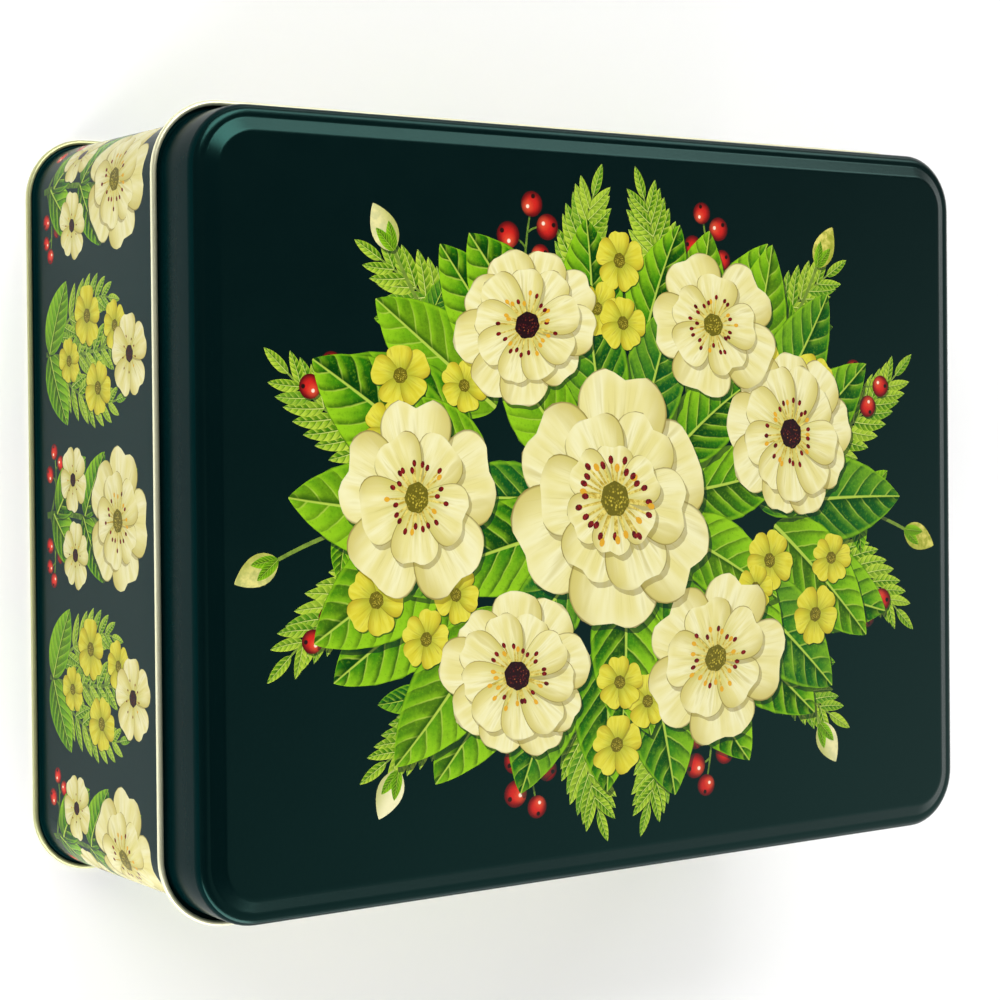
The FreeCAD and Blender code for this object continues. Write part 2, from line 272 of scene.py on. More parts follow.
def heart_material(name, level, dark, light, dot):
    """Domed flower heart, packed with little florets and darker round its foot."""
    t = Tree(name)
    u, w = t.uv("Motif")
    r = t.math("SQRT", t.add(t.mul(u, u), t.mul(w, w)))
    n = t.nt.nodes.new("ShaderNodeTexVoronoi")
    t.put(n.inputs["Vector"], t.vec(u, w))
    n.inputs["Scale"].default_value = 5.5
    c = t.mix(t.step(n.outputs["Distance"], 0.10, 0.55), light, dark)
    c = t.mix(t.step(n.outputs["Distance"], 0.16, 0.06), c, dot)
    c = t.mix(t.mul(t.step(r, 0.5, 1.0), 0.75), c, dark)
    c = t.mix(t.mul(t.step(t.add(u, w), 0.2, 1.2), 0.4), c, dark)
    t.colour(c)
    t.varnish(level)
    return t.mat


def berry_material(name, level):
    t = Tree(name)
    u, w = t.uv("Motif")
    shade, _ = t.uv("MotifAux")
    r = t.math("SQRT", t.add(t.mul(u, u), t.mul(w, w)))
    lit = t.math("SQRT", t.add(t.math("POWER", t.add(u, 0.28), 2.0), t.math("POWER", t.sub(w, 0.34), 2.0)))
    n = t.noise(t.place(), 500.0, 3.0, 0.6)
    c = t.mix(t.step(r, 0.30, 1.0), ink(206, 34, 26), ink(84, 6, 10))
    c = t.mix(t.mul(t.step(lit, 0.75, 0.15), 0.55), c, ink(236, 92, 56))
    c = t.mix(t.mul(t.step(n, 0.5, 0.8), 0.25), c, ink(120, 12, 16))
    c = t.mix(t.step(lit, 0.20, 0.10), c, ink(250, 226, 200))
    tip = t.math("SQRT", t.add(t.math("POWER", t.sub(u, 0.62), 2.0), t.math("POWER", w, 2.0)))
    c = t.mix(t.step(tip, 0.24, 0.14), c, ink(36, 12, 8))
    c = t.mix(t.mul(shade, 0.66), c, DUSK)
    t.colour(c)
    t.varnish(level)
    return t.mat


def gold_material(name, rolled, tone, rough):
    """Gold-lacquered tinplate: bright metal under a thin yellow lacquer, with the mill's fine rolling grain."""
    t = Tree(name)
    p = t.place()
    m = t.nt.nodes.new("ShaderNodeMapping")
    m.inputs["Scale"].default_value = (40.0, 1400.0, 900.0)
    t.nt.links.new(p, m.inputs["Vector"])
    grain = t.noise(m.outputs[0], 1.0, 3.0, 0.6)
    cloud = t.noise(p, 30.0, 3.0, 0.55)
    r, g, b = tone
    c = t.mix(t.step(cloud, 0.3, 0.7), (r, g, b, 1), (r * 1.05, g * 1.07, b * 1.15, 1))
    c = t.mix(t.mul(t.step(grain, 0.4, 0.7), 0.30), c, (r * 1.10, g * 1.14, b * 1.33, 1))
    t.colour(c)
    t.bsdf.inputs["Metallic"].default_value = 0.75 if rolled else 0.9
    t.put(t.bsdf.inputs["Roughness"], t.math("MULTIPLY_ADD", grain, 0.10, rough))
    b = t.nt.nodes.new("ShaderNodeBump")
    b.inputs["Strength"].default_value = 0.12
    b.inputs["Distance"].default_value = 0.00003
    t.put(b.inputs["Height"], grain)
    t.put(t.bsdf.inputs["Normal"], b.outputs[0])
    return t.mat


def print_inks(tag, level, k, painted_light_lift):
    """All inks of one sheet; level is the strength of its varnish's reflection, k that of its inks, and the last
    argument brightens its ground, which for the wall is painted light in place of the varnish's sheen.
    """
    def tone(r, g, b):
        return ink(r, g, b, k)

    return [
        ground_material("print_ground" + tag, level, painted_light_lift),
        leaf_material("print_leaf" + tag, level, tone(3, 58, 6), tone(46, 124, 6), tone(146, 200, 28), tone(186, 212, 78), tone(6, 88, 36), 0.24, 7.5, 1.05),
        leaf_material("print_leaf_lime" + tag, level, tone(54, 108, 10), tone(118, 166, 20), tone(188, 212, 66), tone(210, 220, 116), tone(78, 140, 32), 0.17, 6.0, 0.9),
        petal_material("print_petal_cream" + tag, level, tone(241, 236, 186), tone(229, 219, 142), tone(190, 174, 78), tone(196, 190, 84), tone(100, 14, 22), 0.13, tone(122, 106, 40)),
        petal_material("print_petal_yellow" + tag, level, tone(227, 220, 78), tone(214, 202, 48), tone(170, 146, 20), tone(150, 160, 36), tone(128, 104, 22), 0.16, tone(104, 84, 14), lines=0.8),
        heart_material("print_heart" + tag, level, tone(104, 96, 18), tone(206, 186, 54), tone(236, 222, 110)),
        plain_print("print_stamen" + tag, level, tone(180, 152, 44), tone(232, 214, 112), 700.0),
        plain_print("print_anther" + tag, level, tone(80, 8, 14), tone(140, 24, 22), 900.0, tone(222, 166, 40)),
        berry_material("print_berry" + tag, level),
        plain_print("print_stem" + tag, level, tone(44, 84, 18), tone(112, 146, 44), 420.0, tone(146, 170, 66), True),
        plain_print("print_bud" + tag, level, tone(154, 162, 46), tone(226, 216, 108), 500.0, tone(240, 234, 184), True),
        heart_material("print_heart_dark" + tag, level, tone(32, 4, 10), tone(98, 20, 24), tone(210, 154, 44)),
    ]


# The wall's copy of the inks carries painted light: its ground is painted brighter in place of the sheen its varnish
# shows, its inks are painted darker as shade, and its varnish reflects less.
MATS = print_inks("", 0.42, INK, 0.82) + print_inks("_wall", 0.085, 0.60, 2.0) + [
    gold_material("gold_lacquer", False, (0.72, 0.67, 0.41), 0.30),
    gold_material("gold_rolled_edge", True, (0.72, 0.70, 0.455), 0.34),
    # the base rim: the same gold lacquer painted darker and yellower, as painted shade
    gold_material("gold_base_rim_painted_shade", True, (0.54, 0.54, 0.26), 0.34),
    # the skirt's own copy of the ground: painted brighter in place of the sheen its varnish shows, with the varnish's
    # reflection turned down; painted light
    ground_material("print_ground_skirt_painted_light", 0.035, 1.6),
]
GROUND, LEAF, LIME, CREAM, YELLOW, HEART, STAMEN, ANTHER, BERRY, STEM, BUD, DARK = range(12)
WALL = 12                                      # the wall's inks follow the lid's
GOLD, EDGE, RIM_EDGE_SHADED, SKIRT_PAINTED_LIGHT = 24, 25, 26, 27


# ------------------------------------------------------- printed shapes (plane)
class Print:
    """Shapes in the plane, in drawing order: outline, ink, own axes; some also shade what lies under them."""

    def __init__(self):
        self.items, self.shades = [], []

    def put(self, local, mat, place, bend=0.0, tone=0.5, cast=None):
        """local: outline in the shape's own axes; place: 2x3 map from there to the plane."""
        local = np.asarray(local, float)
        pts = local @ place[:, :2].T + place[:, 2]
        inv = np.linalg.inv(place[:, :2])
        if cast is not None:
            self.shades.append((pts + np.asarray(cast), len(self.items)))
        self.items.append((pts, mat, inv, place[:, 2].copy(), bend, tone))

    def copy_to(self, other, place):
        k = len(other.items)
        for pts, mat, inv, org, bend, tone in self.items:
            q = place[:, :2] @ np.linalg.inv(inv)
            o = place[:, :2] @ org + place[:, 2]
            other.items.append((pts @ place[:, :2].T + place[:, 2], mat, np.linalg.inv(q), o, bend, tone))
        for pts, i in self.shades:
            other.shades.append((pts @ place[:, :2].T + place[:, 2], i + k))


def turn(at, ang, size, squash=1.0, squash_dir=0.0, slim=1.0):
    """Place map: scale, turn by ang degrees and move; slim narrows the shape across its axis, squash along one direction of the plane, as when seen aslant."""
    a = math.radians(ang)
    r = np.array([[math.cos(a), -math.sin(a)], [math.sin(a), math.cos(a)]]) @ np.diag([size, size * slim])
    if squash != 1.0:
        b = math.radians(squash_dir)
        k = np.array([[math.cos(b), -math.sin(b)], [math.sin(b), math.cos(b)]])
        r = k @ np.diag([squash, 1.0]) @ k.T @ r
    return np.column_stack([r, np.asarray(at, float)])


def leaf(pr, at, ang, length, slim=1.0, bend=0.0, mat=LEAF, tone=None, n=22, cast=None):
    wide = 0.24 if mat == LEAF else 0.17
    u = (1 - np.cos(np.pi * np.linspace(0, 1, n))) / 2
    w = wide * 2.736 * u ** 0.62 * (1 - u) ** 0.86
    w = w * (1 + 0.020 * np.sin(u * 46 + rnd.random() * 6)) if n > 16 else w
    c = bend * u ** 2
    right = np.column_stack([u, c - w])
    left = np.column_stack([u, c + w])[::-1][1:-1]
    pr.put(np.concatenate([right, left]), mat, turn(at, ang, length, slim=slim), bend, rnd.random() if tone is None else tone, cast)


def petal_outline(notch, phase, n=34, wide=0.56):
    f = np.linspace(0, 2 * np.pi, n, endpoint=False)
    u = 0.5 * (1 - np.cos(f))
    w = wide * 1.18 * np.sin(f) * (0.30 + 0.70 * u) ** 1.1
    top = np.clip((u - 0.55) / 0.45, 0, 1)
    u = u - notch * top * np.exp(-(w / (0.28 * wide)) ** 2) + 0.018 * top * np.sin(w / wide * 7 + phase)
    return np.column_stack([u, w])


def blossom(pr, at, size, ang=0.0, petals=5, rows=1, mat=CREAM, squash=0.9, squash_dir=60.0, stamens=24, slim=1.0, heart=HEART, core=0.15, notch=(0.03, 0.10), step=0.30, fine=34):
    """Open flower; size is the length of an outer petal."""
    whole = turn(at, 0, 1.0, squash, squash_dir)

    def local(place):
        q = np.zeros((2, 3))
        q[:, :2] = whole[:, :2] @ place[:, :2]
        q[:, 2] = whole[:, :2] @ place[:, 2] + whole[:, 2]
        return q

    for row in range(rows):
        k = 1.0 - step * row
        for i in range(petals):
            a = ang + 360.0 / petals * (i + 0.5 * row) + rnd.uniform(-4, 4)
            s = size * k * rnd.uniform(0.93, 1.05)
            cast = (0.030 * size, -0.042 * size)
            pr.put(petal_outline(rnd.uniform(*notch), rnd.uniform(0, 6), fine), mat, local(turn((0, 0), a, s, slim=slim)), 0.0, rnd.random(), cast)
    for i in range(stamens):
        a = 360.0 / stamens * i + rnd.uniform(-5, 5)
        r0, r1 = 0.6 * core * size, size * rnd.uniform(core + 0.10, core + 0.25)
        th = 0.013 * size
        pl = local(turn((0, 0), a, 1.0))
        pr.put([(r0, -th), (r1, -th * 0.7), (r1, th * 0.7), (r0, th)], STAMEN, pl, 0.0, rnd.random())
        ca = np.linspace(0, 2 * np.pi, 9, endpoint=False)
        dot = np.column_stack([r1 + 0.036 * size * np.cos(ca), 0.026 * size * np.sin(ca)])
        pr.put(dot, ANTHER, pl, 0.0, rnd.choice((0.1, 0.2, 0.9)))
    ca = np.linspace(0, 2 * np.pi, 22, endpoint=False)
    rim = np.column_stack([np.cos(ca), np.sin(ca)]) * (1 + 0.05 * np.sin(ca * 7))[:, None]
    pr.put(rim, heart, local(turn((0, 0), ang, core * size)), 0.0, rnd.random())


def ribbon(pr, pts, w0, w1, mat=STEM, tone=0.4, n=16, cast=None):
    """Stem of tapering width along one smooth curve."""
    p = np.asarray(pts, float)
    t = np.linspace(0, 1, n)
    m = len(p) - 1
    coef = [math.comb(m, i) * t ** i * (1 - t) ** (m - i) for i in range(m + 1)]
    c = sum(co[:, None] * q for co, q in zip(coef, p))
    d = np.gradient(c, axis=0)
    d /= np.linalg.norm(d, axis=1)[:, None]
    nrm = np.column_stack([-d[:, 1], d[:, 0]])
    w = np.linspace(w0, w1, n)[:, None] / 2
    poly = np.concatenate([c + nrm * w, (c - nrm * w)[::-1]])
    length = float(np.linalg.norm(c[-1] - c[0])) or 1.0
    ang = math.degrees(math.atan2(*(c[-1] - c[0])[::-1]))
    place = turn(c[0], ang, length)
    local = (poly - c[0]) @ np.linalg.inv(place[:, :2]).T
    pr.put(local, mat, place, 0.0, tone, cast)
    return c, d


def sprig(pr, pts, pairs=7, size=11.0, mat=LIME, slim=1.0, lean=52.0, stem=1.1):
    """Curved stalk with paired leaflets that shorten towards its tip."""
    c, d = ribbon(pr, pts, stem, 0.5, STEM, 0.6, 24)
    for i in range(pairs):
        f = 0.18 + 0.80 * i / pairs
        k = f * (len(c) - 1)
        j = min(int(k), len(c) - 2)
        at = c[j] + (c[j + 1] - c[j]) * (k - j)
        ang = math.degrees(math.atan2(d[j][1], d[j][0]))
        s = size * (0.55 + 0.9 * math.sin(math.pi * (0.18 + 0.72 * f))) * 0.62
        for sgn in (-1, 1):
            leaf(pr, at, ang + sgn * (lean + rnd.uniform(-5, 5)) * (1.05 - 0.35 * f), s, slim, sgn * -0.10, mat, n=12)
    ang = math.degrees(math.atan2(d[-1][1], d[-1][0]))
    leaf(pr, c[-1] - d[-1] * 0.5, ang, size * 0.62, slim, 0.0, mat, n=12)


def berries(pr, pts, size=3.0, count=5, reach=5.2):
    """Thin branching stalk with round berries."""
    c, d = ribbon(pr, pts, 1.0, 0.5, STEM, 0.5, 20)
    ends = []
    for i in range(count):
        f = 0.40 + 0.60 * i / max(1, count - 1)
        j = int(f * (len(c) - 1))
        sgn = 1 if i % 2 else -1
        nrm = np.array([-d[j][1], d[j][0]])
        out = 0.0 if i == count - 1 else reach
        e = c[j] + d[j] * (reach / 2 if out else 1.5) + nrm * sgn * out * rnd.uniform(0.85, 1.15)
        if out:
            ribbon(pr, [c[j], c[j] + d[j] * reach * 0.42 + nrm * sgn * out * 0.3, e], 0.55, 0.45, STEM, 0.5, 8)
        ends.append((e, math.degrees(math.atan2(*(e - c[j])[::-1]))))
    ca = np.linspace(0, 2 * np.pi, 24, endpoint=False)
    for e, a in ends:
        pr.put(np.column_stack([np.cos(ca), np.sin(ca)]), BERRY, turn(e, a, size * rnd.uniform(0.88, 1.1)), cast=(0.4, -0.5))


def bud(pr, at, ang, length, tone=None):
    n = 14
    u = (1 - np.cos(np.pi * np.linspace(0, 1, n))) / 2
    w = 0.30 * np.sin(np.pi * u ** 0.8) ** 0.8
    pr.put(np.concatenate([np.column_stack([u, -w]), np.column_stack([u, w])[::-1][1:-1]]), BUD, turn(at, ang, length), 0.0, rnd.random() if tone is None else tone, (0.5, -0.7))
    for s in (-1, 1):
        leaf(pr, at, ang + s * 16, length * 0.58, 0.85, 0.0, LEAF, 0.8, 10)


def ray(deg, a, b):
    """Point of an ellipse and the outward direction there, in degrees."""
    t = math.radians(deg)
    p = np.array([a * math.cos(t), b * math.sin(t)])
    return p, math.degrees(math.atan2(p[1] / b ** 2, p[0] / a ** 2))


def arched(p, out, sweep, length):
    a, b = math.radians(out + sweep * 0.2), math.radians(out + sweep)
    q1 = p + np.array([math.cos(a), math.sin(a)]) * length * 0.5
    q2 = q1 + np.array([math.cos(b), math.sin(b)]) * length * 0.5
    return [p, q1, q2]


def lid_print():
    """Round posy of cream blossoms, small yellow flowers, berries and ferns in a collar of leaves."""
    pr = Print()
    side = lambda deg: abs(math.cos(math.radians(deg)))
    for deg, sweep in ((10, 30), (48, -26), (76, 30), (104, -30), (132, 26), (170, -30), (190, 30), (228, -26), (256, 30), (284, -30), (312, 26), (350, -30)):
        p, out = ray(deg, 56, 40)
        sprig(pr, arched(p, out, sweep, 38 + 13 * side(deg)), 10, 14.0)
    for deg, sweep in ((28, -36), (62, 34), (118, -34), (152, 36), (208, -36), (242, 34), (298, -34), (332, 36)):
        p, out = ray(deg, 58, 42)
        berries(pr, arched(p, out, sweep, 34 + 8 * side(deg)), 3.1, 6)
    for deg, sweep in ((40, 14), (140, -14), (220, 14), (320, -14), (0, -24), (180, 24)):
        p, out = ray(deg, 60, 44)
        way = arched(p, out, sweep, 36 + 6 * side(deg))
        ribbon(pr, way, 1.3, 0.9, STEM, 0.6, 14)
        bud(pr, way[2], out + sweep, 12.5)
        leaf(pr, way[1], out + sweep + 50, 15, 1.0, 0.1, LEAF, n=18)
        leaf(pr, way[1], out + sweep - 50, 15, 1.0, -0.1, LEAF, n=18)
    order = list(range(26))
    rnd.shuffle(order)
    for k in order:
        deg = 360.0 / 26 * k + rnd.uniform(-3, 3)
        p, out = ray(deg, 53, 36)
        leaf(pr, p, out + rnd.uniform(-24, 24), 38 + 9 * side(deg) + rnd.uniform(-3, 3), rnd.uniform(0.98, 1.2), rnd.uniform(-0.14, 0.14), LEAF, n=28, cast=(0.9, -1.3))
    for k in range(12):
        deg = 360.0 / 12 * k + rnd.uniform(-6, 6)
        p, out = ray(deg, 46, 30)
        leaf(pr, p, out + rnd.uniform(-40, 40), 31 + rnd.uniform(-3, 3), rnd.uniform(0.98, 1.15), rnd.uniform(-0.12, 0.12), LEAF, n=26, cast=(0.8, -1.2))
    for k in range(11):
        deg = 360.0 / 11 * k + 8 + rnd.uniform(-4, 4)
        p, out = ray(deg, 20, 17)
        leaf(pr, p, math.degrees(math.atan2(p[1], p[0])) + rnd.uniform(-10, 10), 38 + rnd.uniform(-3, 4), rnd.uniform(1.0, 1.2), rnd.uniform(-0.12, 0.12), LEAF, n=28, cast=(0.9, -1.3))
    for deg, a, b, size in ((33, 78, 56, 8.6), (44, 66, 52, 7.4), (90, 66, 62, 8.2), (98, 52, 50, 7.2), (146, 80, 58, 8.4), (157, 76, 50, 7.2), (203, 80, 54, 8.8), (214, 72, 56, 7.4), (268, 60, 62, 8.4), (277, 66, 52, 7.4), (326, 80, 58, 8.6), (338, 78, 46, 7.4)):
        p, out = ray(deg, a, b)
        blossom(pr, p, size, rnd.uniform(0, 72), 5, 1, YELLOW, 0.94, rnd.uniform(0, 180), 0, 1.0, HEART, 0.24, fine=24)
    for x, y, size in ((50, -17, 8.4), (45, -24, 6.6), (1, 46, 7.6), (-1, -46, 7.6), (-48, 30, 6.8), (-51, -21, 7.2)):
        blossom(pr, (x, y), size, rnd.uniform(0, 72), 5, 1, YELLOW, 0.94, rnd.uniform(0, 180), 0, 1.0, HEART, 0.24, fine=24)
    blossom(pr, (58, 17), 24, 10, 9, 2, CREAM, 0.90, 20, 26, 0.72, DARK, 0.17, (0.0, 0.04), 0.22)
    blossom(pr, (-29, 45), 22, 30, 9, 2, CREAM, 0.88, 110, 26, 0.72, DARK, 0.17, (0.0, 0.04), 0.22)
    blossom(pr, (-33, -42), 23, 50, 9, 2, CREAM, 0.90, 60, 26, 0.72, DARK, 0.17, (0.0, 0.04), 0.22)
    blossom(pr, (-62, 3), 25, 15, 5, 2, CREAM, 0.90, 0, 24)
    blossom(pr, (31, 46), 22, 40, 5, 2, CREAM, 0.88, 70, 24)
    blossom(pr, (31, -42), 25, 66, 5, 2, CREAM, 0.90, 120, 24)
    blossom(pr, (-2, 1), 33, 25, 6, 3, CREAM, 0.94, 45, 30, 0.92, HEART, 0.14, (0.03, 0.09), 0.26)
    return pr


def wall_sprig_a():
    """Upright stalk with one cream blossom; the foot is at the origin."""
    pr = Print()
    ribbon(pr, [(0, 0), (-2.5, 14), (1.5, 26), (0, 38)], 1.7, 1.2, STEM, 0.4, 18)
    berries(pr, [(0, 2), (7, 6), (15, 4)], 2.1, 4, 3.4)
    berries(pr, [(0, 2), (-7, 7), (-15, 5)], 2.1, 4, 3.4)
    for y, s, a, l in ((4, 1, 46, 22), (6, -1, 136, 23), (22, 1, 30, 20), (23, -1, 150, 20), (36, 1, 48, 21), (36, -1, 132, 21)):
        leaf(pr, (-0.6, y), a, l, 1.15, 0.10 * s, LEAF, n=22, cast=(0.5, -0.7))
    for x, y, q in ((9.5, 17, 30), (-9.5, 16, 66)):
        blossom(pr, (x, y), 8.6, q, 5, 1, CREAM, 0.94, 90, 8, 1.0, DARK, 0.20, fine=22)
    blossom(pr, (0, 42.0), 18.0, 18, 5, 2, CREAM, 0.93, 90, 18, 1.0, HEART, 0.16, fine=28)
    return pr


def wall_sprig_b():
    """Upright ferns with small yellow flowers and buds."""
    pr = Print()
    sprig(pr, [(0, 2), (-9, 12), (-15, 26), (-13, 38)], 8, 10.5, LIME, 1.0, 50, 1.1)
    sprig(pr, [(0, 2), (9, 12), (15, 28), (12, 42)], 8, 10.5, LIME, 1.0, 50, 1.1)
    sprig(pr, [(0, 0), (3, 19), (-3, 36), (0, 50)], 9, 10.5, LIME, 1.05, 50, 1.4)
    for x, y in ((-9, 25), (9, 31), (-6, 41)):
        ribbon(pr, [(0, y - 10), (x * 0.4, y - 4), (x, y)], 0.9, 0.6, STEM, 0.6, 8)
    leaf(pr, (0, 2), 24, 21, 1.15, 0.1, LEAF, n=20, cast=(0.5, -0.7))
    leaf(pr, (0, 2), 156, 21, 1.15, -0.1, LEAF, n=20, cast=(0.5, -0.7))
    for x, y, s in ((-9, 25, 8.0), (9, 31, 7.6), (-6, 41, 6.8), (2, 14, 6.4)):
        blossom(pr, (x, y), s, rnd.uniform(0, 72), 5, 1, YELLOW, 0.95, 0, 0, 1.0, HEART, 0.24, fine=22)
    blossom(pr, (1.0, 49), 10.5, 40, 5, 1, CREAM, 0.94, 90, 9, 1.0, DARK, 0.20, fine=24)
    return pr


# ------------------------------------------------- flat cutting of the printing
def inside(poly, pts):
    x, y = pts[:, 0], pts[:, 1]
    hit = np.zeros(len(pts), bool)
    px, py = poly[:, 0], poly[:, 1]
    qx, qy = np.roll(px, -1), np.roll(py, -1)
    for ax, ay, bx, by in zip(px, py, qx, qy):
        if ay == by:
            continue
        hit ^= ((ay > y) != (by > y)) & (x < (bx - ax) * (y - ay) / (by - ay) + ax)
    return hit


def cut(border, lines, pr):
    """Triangles of the region inside the convex border, cut along every outline.

    Returns points, triangles and, for each triangle, the index of the topmost
    shape that covers it (-1 for the bare ground) and whether a shape above shades it.
    """
    verts, edges = [], []

    def loop(pts):
        k, m = len(verts), len(pts)
        verts.extend(Vector((float(p[0]), float(p[1]))) for p in pts)
        edges.extend((k + i, k + (i + 1) % m) for i in range(m))

    loop(border)
    for a, b in lines:
        k = len(verts)
        verts.extend((Vector((float(a[0]), float(a[1]))), Vector((float(b[0]), float(b[1])))))
        edges.append((k, k + 1))
    for it in pr.items:
        loop(it[0])
    for p, _ in pr.shades:
        loop(p)
    co, _, faces, *_ = delaunay_2d_cdt(verts, edges, [], 0, 1e-4, False)
    pts = np.array([(c[0], c[1]) for c in co])
    tri = np.array([f for f in faces if len(f) == 3])
    a, b, c = pts[tri[:, 0]], pts[tri[:, 1]], pts[tri[:, 2]]
    area = (b[:, 0] - a[:, 0]) * (c[:, 1] - a[:, 1]) - (b[:, 1] - a[:, 1]) * (c[:, 0] - a[:, 0])
    tri[area < 0] = tri[area < 0][:, [0, 2, 1]]
    mid = (a + b + c) / 3
    keep = inside(np.asarray(border, float), mid) & (abs(area) > 1e-9)
    tri, mid = tri[keep], mid[keep]

    def under(p, ok):
        lo, hi = p.min(0), p.max(0)
        k = np.where(ok & (mid > lo).all(1) & (mid < hi).all(1))[0]
        return k[inside(p, mid[k])] if len(k) else k

    who = np.full(len(tri), -1)
    for i in range(len(pr.items) - 1, -1, -1):
        who[under(pr.items[i][0], who < 0)] = i
    dim = np.zeros(len(tri), bool)
    for p, i in pr.shades:
        dim[under(p, (who >= 0) & (who < i) & ~dim)] = True
    return pts, tri, who, dim


# ------------------------------------------------------------------ mesh making
class Shell:
    """Collects vertices (mm) and faces with an ink number, printing coordinates and a flat layout."""

    def __init__(self):
        self.v, self.f, self.m, self.uv, self.var, self.aux, self.lay = [], [], [], [], [], [], []

    def vert(self, x, y, z):
        self.v.append((x, y, z))
        return len(self.v) - 1

    def face(self, ids, mat, uv=None, var=None, aux=0.0, lay=None):
        self.f.append(tuple(ids))
        self.m.append(mat)
        self.uv.append(uv)
        self.var.append(var)
        self.aux.append(aux)
        self.lay.append(lay)

    def band(self, r0, r1, mat, us=None, v0=0.0, v1=0.0):
        n = len(r0)
        for i in range(n):
            j = (i + 1) % n
            lay = None if us is None else ((us[i], v0), (us[i + 1], v0), (us[i + 1], v1), (us[i], v1))
            self.face((r0[i], r0[j], r1[j], r1[i]), mat, lay=lay)

    def build(self, name, sharp=38.0):
        me = bpy.data.meshes.new(name)
        me.from_pydata([(x * MM, y * MM, z * MM) for x, y, z in self.v], [], self.f)
        used = sorted(set(self.m))
        for m in used:
            me.materials.append(MATS[m])
        me.polygons.foreach_set("material_index", [used.index(m) for m in self.m])
        a, b, c, d = [], [], [], []
        for ids, uv, var, aux, lay in zip(self.f, self.uv, self.var, self.aux, self.lay):
            for k in range(len(ids)):
                a += (0.0, 0.0) if uv is None else uv[k]
                b += (0.0, 0.5) if var is None else var
                c += (aux, 0.0)
                d += (0.0, 0.0) if lay is None else lay[k]
        maps = [("Motif", a), ("MotifVar", b), ("MotifAux", c)]
        if any(l is not None for l in self.lay):
            maps.append(("OFBake", d))
        for label, data in maps:
            me.uv_layers.new(name=label).uv.foreach_set("vector", np.array(data, np.float32))
        me.polygons.foreach_set("use_smooth", [True] * len(me.polygons))
        me.set_sharp_from_angle(angle=math.radians(sharp))
        me.validate()
        me.update()
        ob = bpy.data.objects.new(name, me)
        bpy.context.scene.collection.objects.link(ob)
        return ob


def printed(shell, pts, tri, who, dim, items, ids, flat, inks=0, gap=None):
    """Adds cut triangles to the shell; ids gives each point's vertex, flat its place in the layout."""
    for t, w, s in zip(tri, who, dim):
        lay = flat(pts[t])
        if w < 0:
            shell.face((ids[t[0]], ids[t[1]], ids[t[2]]), inks + GROUND if gap is None else gap(pts[t].mean(0)), lay=lay)
        else:
            _, mat, inv, org, bend, tone = items[w]
            loc = (pts[t] - org) @ inv.T
            shell.face((ids[t[0]], ids[t[1]], ids[t[2]]), inks + mat, [tuple(map(float, q)) for q in loc], (bend, tone), float(s), lay)


def ring_path(hx, hy, r, arc=14, side=6):
    """Points and outward directions round a rounded rectangle, anticlockwise, with the length run so far."""
    out = []
    run = 0.0
    for cx, cy, a0, ln in ((hx - r, hy - r, 0, 2 * (hx - r)), (r - hx, hy - r, 90, 2 * (hy - r)), (r - hx, r - hy, 180, 2 * (hx - r)), (hx - r, r - hy, 270, 2 * (hy - r))):
        for k in range(arc + 1):
            t = math.radians(a0 + 90.0 * k / arc)
            nx, ny = math.cos(t), math.sin(t)
            out.append((cx + r * nx, cy + r * ny, nx, ny, run + r * math.radians(90.0 * k / arc), True))
        run += r * math.pi / 2
        t = math.radians(a0 + 90.0)
        nx, ny = round(math.cos(t)), round(math.sin(t))
        x0, y0 = cx + r * nx, cy + r * ny
        dx, dy = -ny, nx
        for k in range(1, side):
            out.append((x0 + dx * ln * k / side, y0 + dy * ln * k / side, nx, ny, run + ln * k / side, False))
        run += ln
    return out, run


def fillet(pts, radii, n=6):
    """Polyline with its inner corners rounded by the given radii."""
    out = [pts[0]]
    for i in range(1, len(pts) - 1):
        r = radii[i]
        p, a, b = (np.array(q, float) for q in (pts[i], pts[i - 1], pts[i + 1]))
        if not r:
            out.append(tuple(p))
            continue
        u, v = (a - p) / np.linalg.norm(a - p), (b - p) / np.linalg.norm(b - p)
        ang = math.acos(max(-1, min(1, float(u @ v))))
        t = r / math.tan(ang / 2)
        c = p + (u + v) / np.linalg.norm(u + v) * r / math.sin(ang / 2)
        s, e = p + u * t - c, p + v * t - c
        a0, a1 = math.atan2(s[1], s[0]), math.atan2(e[1], e[0])
        while a1 - a0 > math.pi:
            a1 -= 2 * math.pi
        while a1 - a0 < -math.pi:
            a1 += 2 * math.pi
        for k in range(n + 1):
            f = a0 + (a1 - a0) * k / n
            out.append((c[0] + r * math.cos(f), c[1] + r * math.sin(f)))
    out.append(pts[-1])
    return out


def arc_points(cx, cz, r, a0, a1, n):
    """Profile arc; angles in degrees, measured from outwards (less d) towards up."""
    return [(cx - r * math.cos(math.radians(a0 + (a1 - a0) * k / n)), cz + r * math.sin(math.radians(a0 + (a1 - a0) * k / n))) for k in range(n + 1)]


def spans(prof, groups):
    """Layout heights of each band of a profile; groups: (bands, from, to), in order."""
    out, i = [], 0
    for n, a, b in groups:
        run = [0.0]
        for k in range(i, i + n):
            run.append(run[-1] + math.dist(prof[k][0], prof[k + 1][0]))
        out += [(a + (b - a) * run[k] / run[-1], a + (b - a) * run[k + 1] / run[-1]) for k in range(n)]
        i += n
    return out


